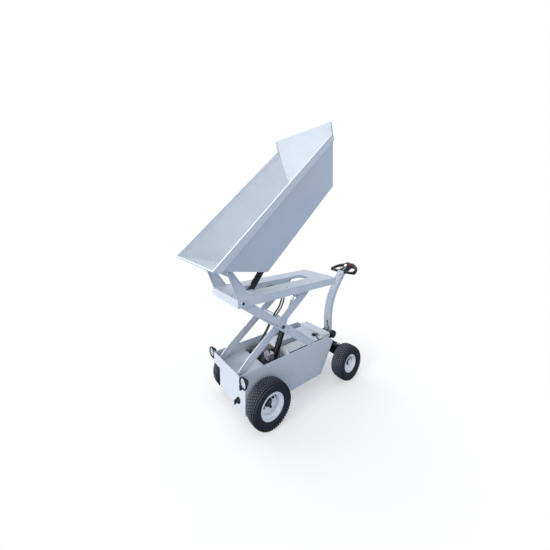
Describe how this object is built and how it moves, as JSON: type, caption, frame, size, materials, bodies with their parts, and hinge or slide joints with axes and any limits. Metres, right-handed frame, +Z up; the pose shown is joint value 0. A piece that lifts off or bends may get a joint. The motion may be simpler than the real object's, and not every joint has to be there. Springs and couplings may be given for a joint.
{
  "type": "electric dump cart",
  "caption": "Battery-powered walk-behind cart with a scissor lift, a tipping open bucket and a steering tiller, shown raised and tipped.",
  "frame": {"origin": "on the ground, at the middle of the cart's length and width as it is shown, raised and tipped", "axes": "+X towards the end the bucket tips over, +Y to the cart's left, +Z up"},
  "size_m": [2.1432, 0.8, 2.6784],
  "materials": {
    "grey_paint": "satin powder coat",
    "black_paint": "satin",
    "tyre": "matt",
    "rim": "satin",
    "plated_rod": "polished",
    "roller": "turned",
    "valve": "machined",
    "drive": "painted casting",
    "battery": "matt",
    "tank": "satin",
    "black_plastic": "fine grain",
    "red_button": "gloss",
    "lens": "clear ribbed"
  },
  "bodies": {
    "chassis": {"chassis_tub": "grey_paint", "roller_tracks": "grey_paint", "front_deck": "grey_paint", "battery_cover": "grey_paint", "battery_block": "battery", "drive_unit": "drive", "pump_motor": "black_paint", "valve_block": "valve", "oil_tank": "tank", "axle_beam": "black_paint", "lamp_housings": "black_plastic", "lamp_lenses": "lens", "isolator_key": "black_plastic", "limit_switch": "black_plastic"},
    "front_wheel_left": {"front_tyre_left": "tyre", "front_rim_left": "rim"},
    "front_wheel_right": {"front_tyre_right": "tyre", "front_rim_right": "rim"},
    "knuckle_left": {"knuckle_left": "black_paint"},
    "knuckle_right": {"knuckle_right": "black_paint"},
    "rear_wheel_left": {"rear_tyre_left": "tyre", "rear_rim_left": "rim"},
    "rear_wheel_right": {"rear_tyre_right": "tyre", "rear_rim_right": "rim"},
    "steering_column": {"steering_column": "black_paint"},
    "tie_rod": {"tie_rod": "black_paint"},
    "tiller": {"tiller_arm": "grey_paint", "tilt_hub": "black_paint", "handle_head": "black_plastic", "handle_button": "red_button"},
    "inner_arms": {"inner_arms": "grey_paint", "inner_cross_tubes": "grey_paint", "upper_rollers": "roller"},
    "outer_arms": {"outer_arms": "grey_paint", "outer_cross_bar": "grey_paint", "lower_rollers": "roller"},
    "table": {"table_frame": "grey_paint", "table_plate": "grey_paint", "tip_posts": "grey_paint"},
    "bucket": {"bucket_shell": "grey_paint", "bucket_brackets": "grey_paint"},
    "lift_barrel": {"lift_barrel": "black_paint"},
    "lift_rod": {"lift_rod": "plated_rod"},
    "dump_barrel": {"dump_barrel": "black_paint"},
    "dump_rod": {"dump_rod": "plated_rod"}
  },
  "joints": [
    {"name": "front_wheel_left_spin", "type": "hinge", "parent": "chassis", "child": "front_wheel_left", "pos_m": [0.53665, 0.32, 0.2045], "axis": [0, 1, 0], "continuous": true},
    {"name": "front_wheel_right_spin", "type": "hinge", "parent": "chassis", "child": "front_wheel_right", "pos_m": [0.53665, -0.32, 0.2045], "axis": [0, 1, 0], "continuous": true},
    {"name": "steering", "type": "hinge", "parent": "chassis", "child": "steering_column", "pos_m": [-0.53635, 0, 0.33], "axis": [0, 0, 1], "range_deg": [-25, 25]},
    {"name": "knuckle_left_turn", "type": "hinge", "parent": "chassis", "child": "knuckle_left", "pos_m": [-0.53635, 0.221, 0.1885], "axis": [0, 0, 1], "range_deg": [-25, 25]},
    {"name": "knuckle_right_turn", "type": "hinge", "parent": "chassis", "child": "knuckle_right", "pos_m": [-0.53635, -0.221, 0.1885], "axis": [0, 0, 1], "range_deg": [-25, 25]},
    {"name": "tie_rod_swing", "type": "hinge", "parent": "steering_column", "child": "tie_rod", "pos_m": [-0.64635, 0, 0.1885], "axis": [0, 0, 1], "range_deg": [-25, 25]},
    {"name": "rear_wheel_left_spin", "type": "hinge", "parent": "knuckle_left", "child": "rear_wheel_left", "pos_m": [-0.53635, 0.329, 0.1885], "axis": [0, 1, 0], "continuous": true},
    {"name": "rear_wheel_right_spin", "type": "hinge", "parent": "knuckle_right", "child": "rear_wheel_right", "pos_m": [-0.53635, -0.329, 0.1885], "axis": [0, 1, 0], "continuous": true},
    {"name": "tiller_tilt", "type": "hinge", "parent": "steering_column", "child": "tiller", "pos_m": [-0.61335, 0, 0.382], "axis": [0, -1, 0], "range_deg": [0, 60]},
    {"name": "lift", "type": "hinge", "parent": "chassis", "child": "inner_arms", "pos_m": [0.74165, 0, 0.457], "axis": [0, 1, 0], "range_deg": [-29.7, 0]},
    {"name": "scissor_cross", "type": "hinge", "parent": "inner_arms", "child": "outer_arms", "pos_m": [0.30025, 0, 0.78006], "axis": [0, 1, 0], "range_deg": [0, 59.4]},
    {"name": "table_level", "type": "hinge", "parent": "outer_arms", "child": "table", "pos_m": [0.74165, 0, 1.10312], "axis": [0, 1, 0], "range_deg": [-29.7, 0]},
    {"name": "dump", "type": "hinge", "parent": "table", "child": "bucket", "pos_m": [0.84465, 0, 1.35762], "axis": [0, 1, 0], "range_deg": [-42.9, 2.1]},
    {"name": "lift_cylinder_swing", "type": "hinge", "parent": "chassis", "child": "lift_barrel", "pos_m": [0.29165, 0, 0.195], "axis": [0, 1, 0], "range_deg": [-33.04, 0]},
    {"name": "lift_rod_slide", "type": "slide", "parent": "lift_barrel", "child": "lift_rod", "axis": [-0.3942, 0, 0.919], "range_m": [-0.2639, 0]},
    {"name": "dump_cylinder_swing", "type": "hinge", "parent": "table", "child": "dump_barrel", "pos_m": [0.53665, 0, 1.08162], "axis": [0, 1, 0], "range_deg": [-51.23, 2.56]},
    {"name": "dump_rod_slide", "type": "slide", "parent": "dump_barrel", "child": "dump_rod", "axis": [-0.617, 0, 0.7869], "range_m": [-0.282, 0.0143]}
  ],
  "couplings": [
    {"joint": "knuckle_left_turn", "follows": "steering", "ratio": 1},
    {"joint": "knuckle_right_turn", "follows": "steering", "ratio": 1},
    {"joint": "tie_rod_swing", "follows": "steering", "ratio": -1},
    {"joint": "scissor_cross", "follows": "lift", "ratio": -2},
    {"joint": "table_level", "follows": "lift", "ratio": 1},
    {"joint": "lift_cylinder_swing", "follows": "lift", "ratio": 1.1109},
    {"joint": "lift_rod_slide", "follows": "lift", "m_per_rad": 0.50805},
    {"joint": "dump_cylinder_swing", "follows": "dump", "ratio": 1.193},
    {"joint": "dump_rod_slide", "follows": "dump", "m_per_rad": 0.376}
  ]
}
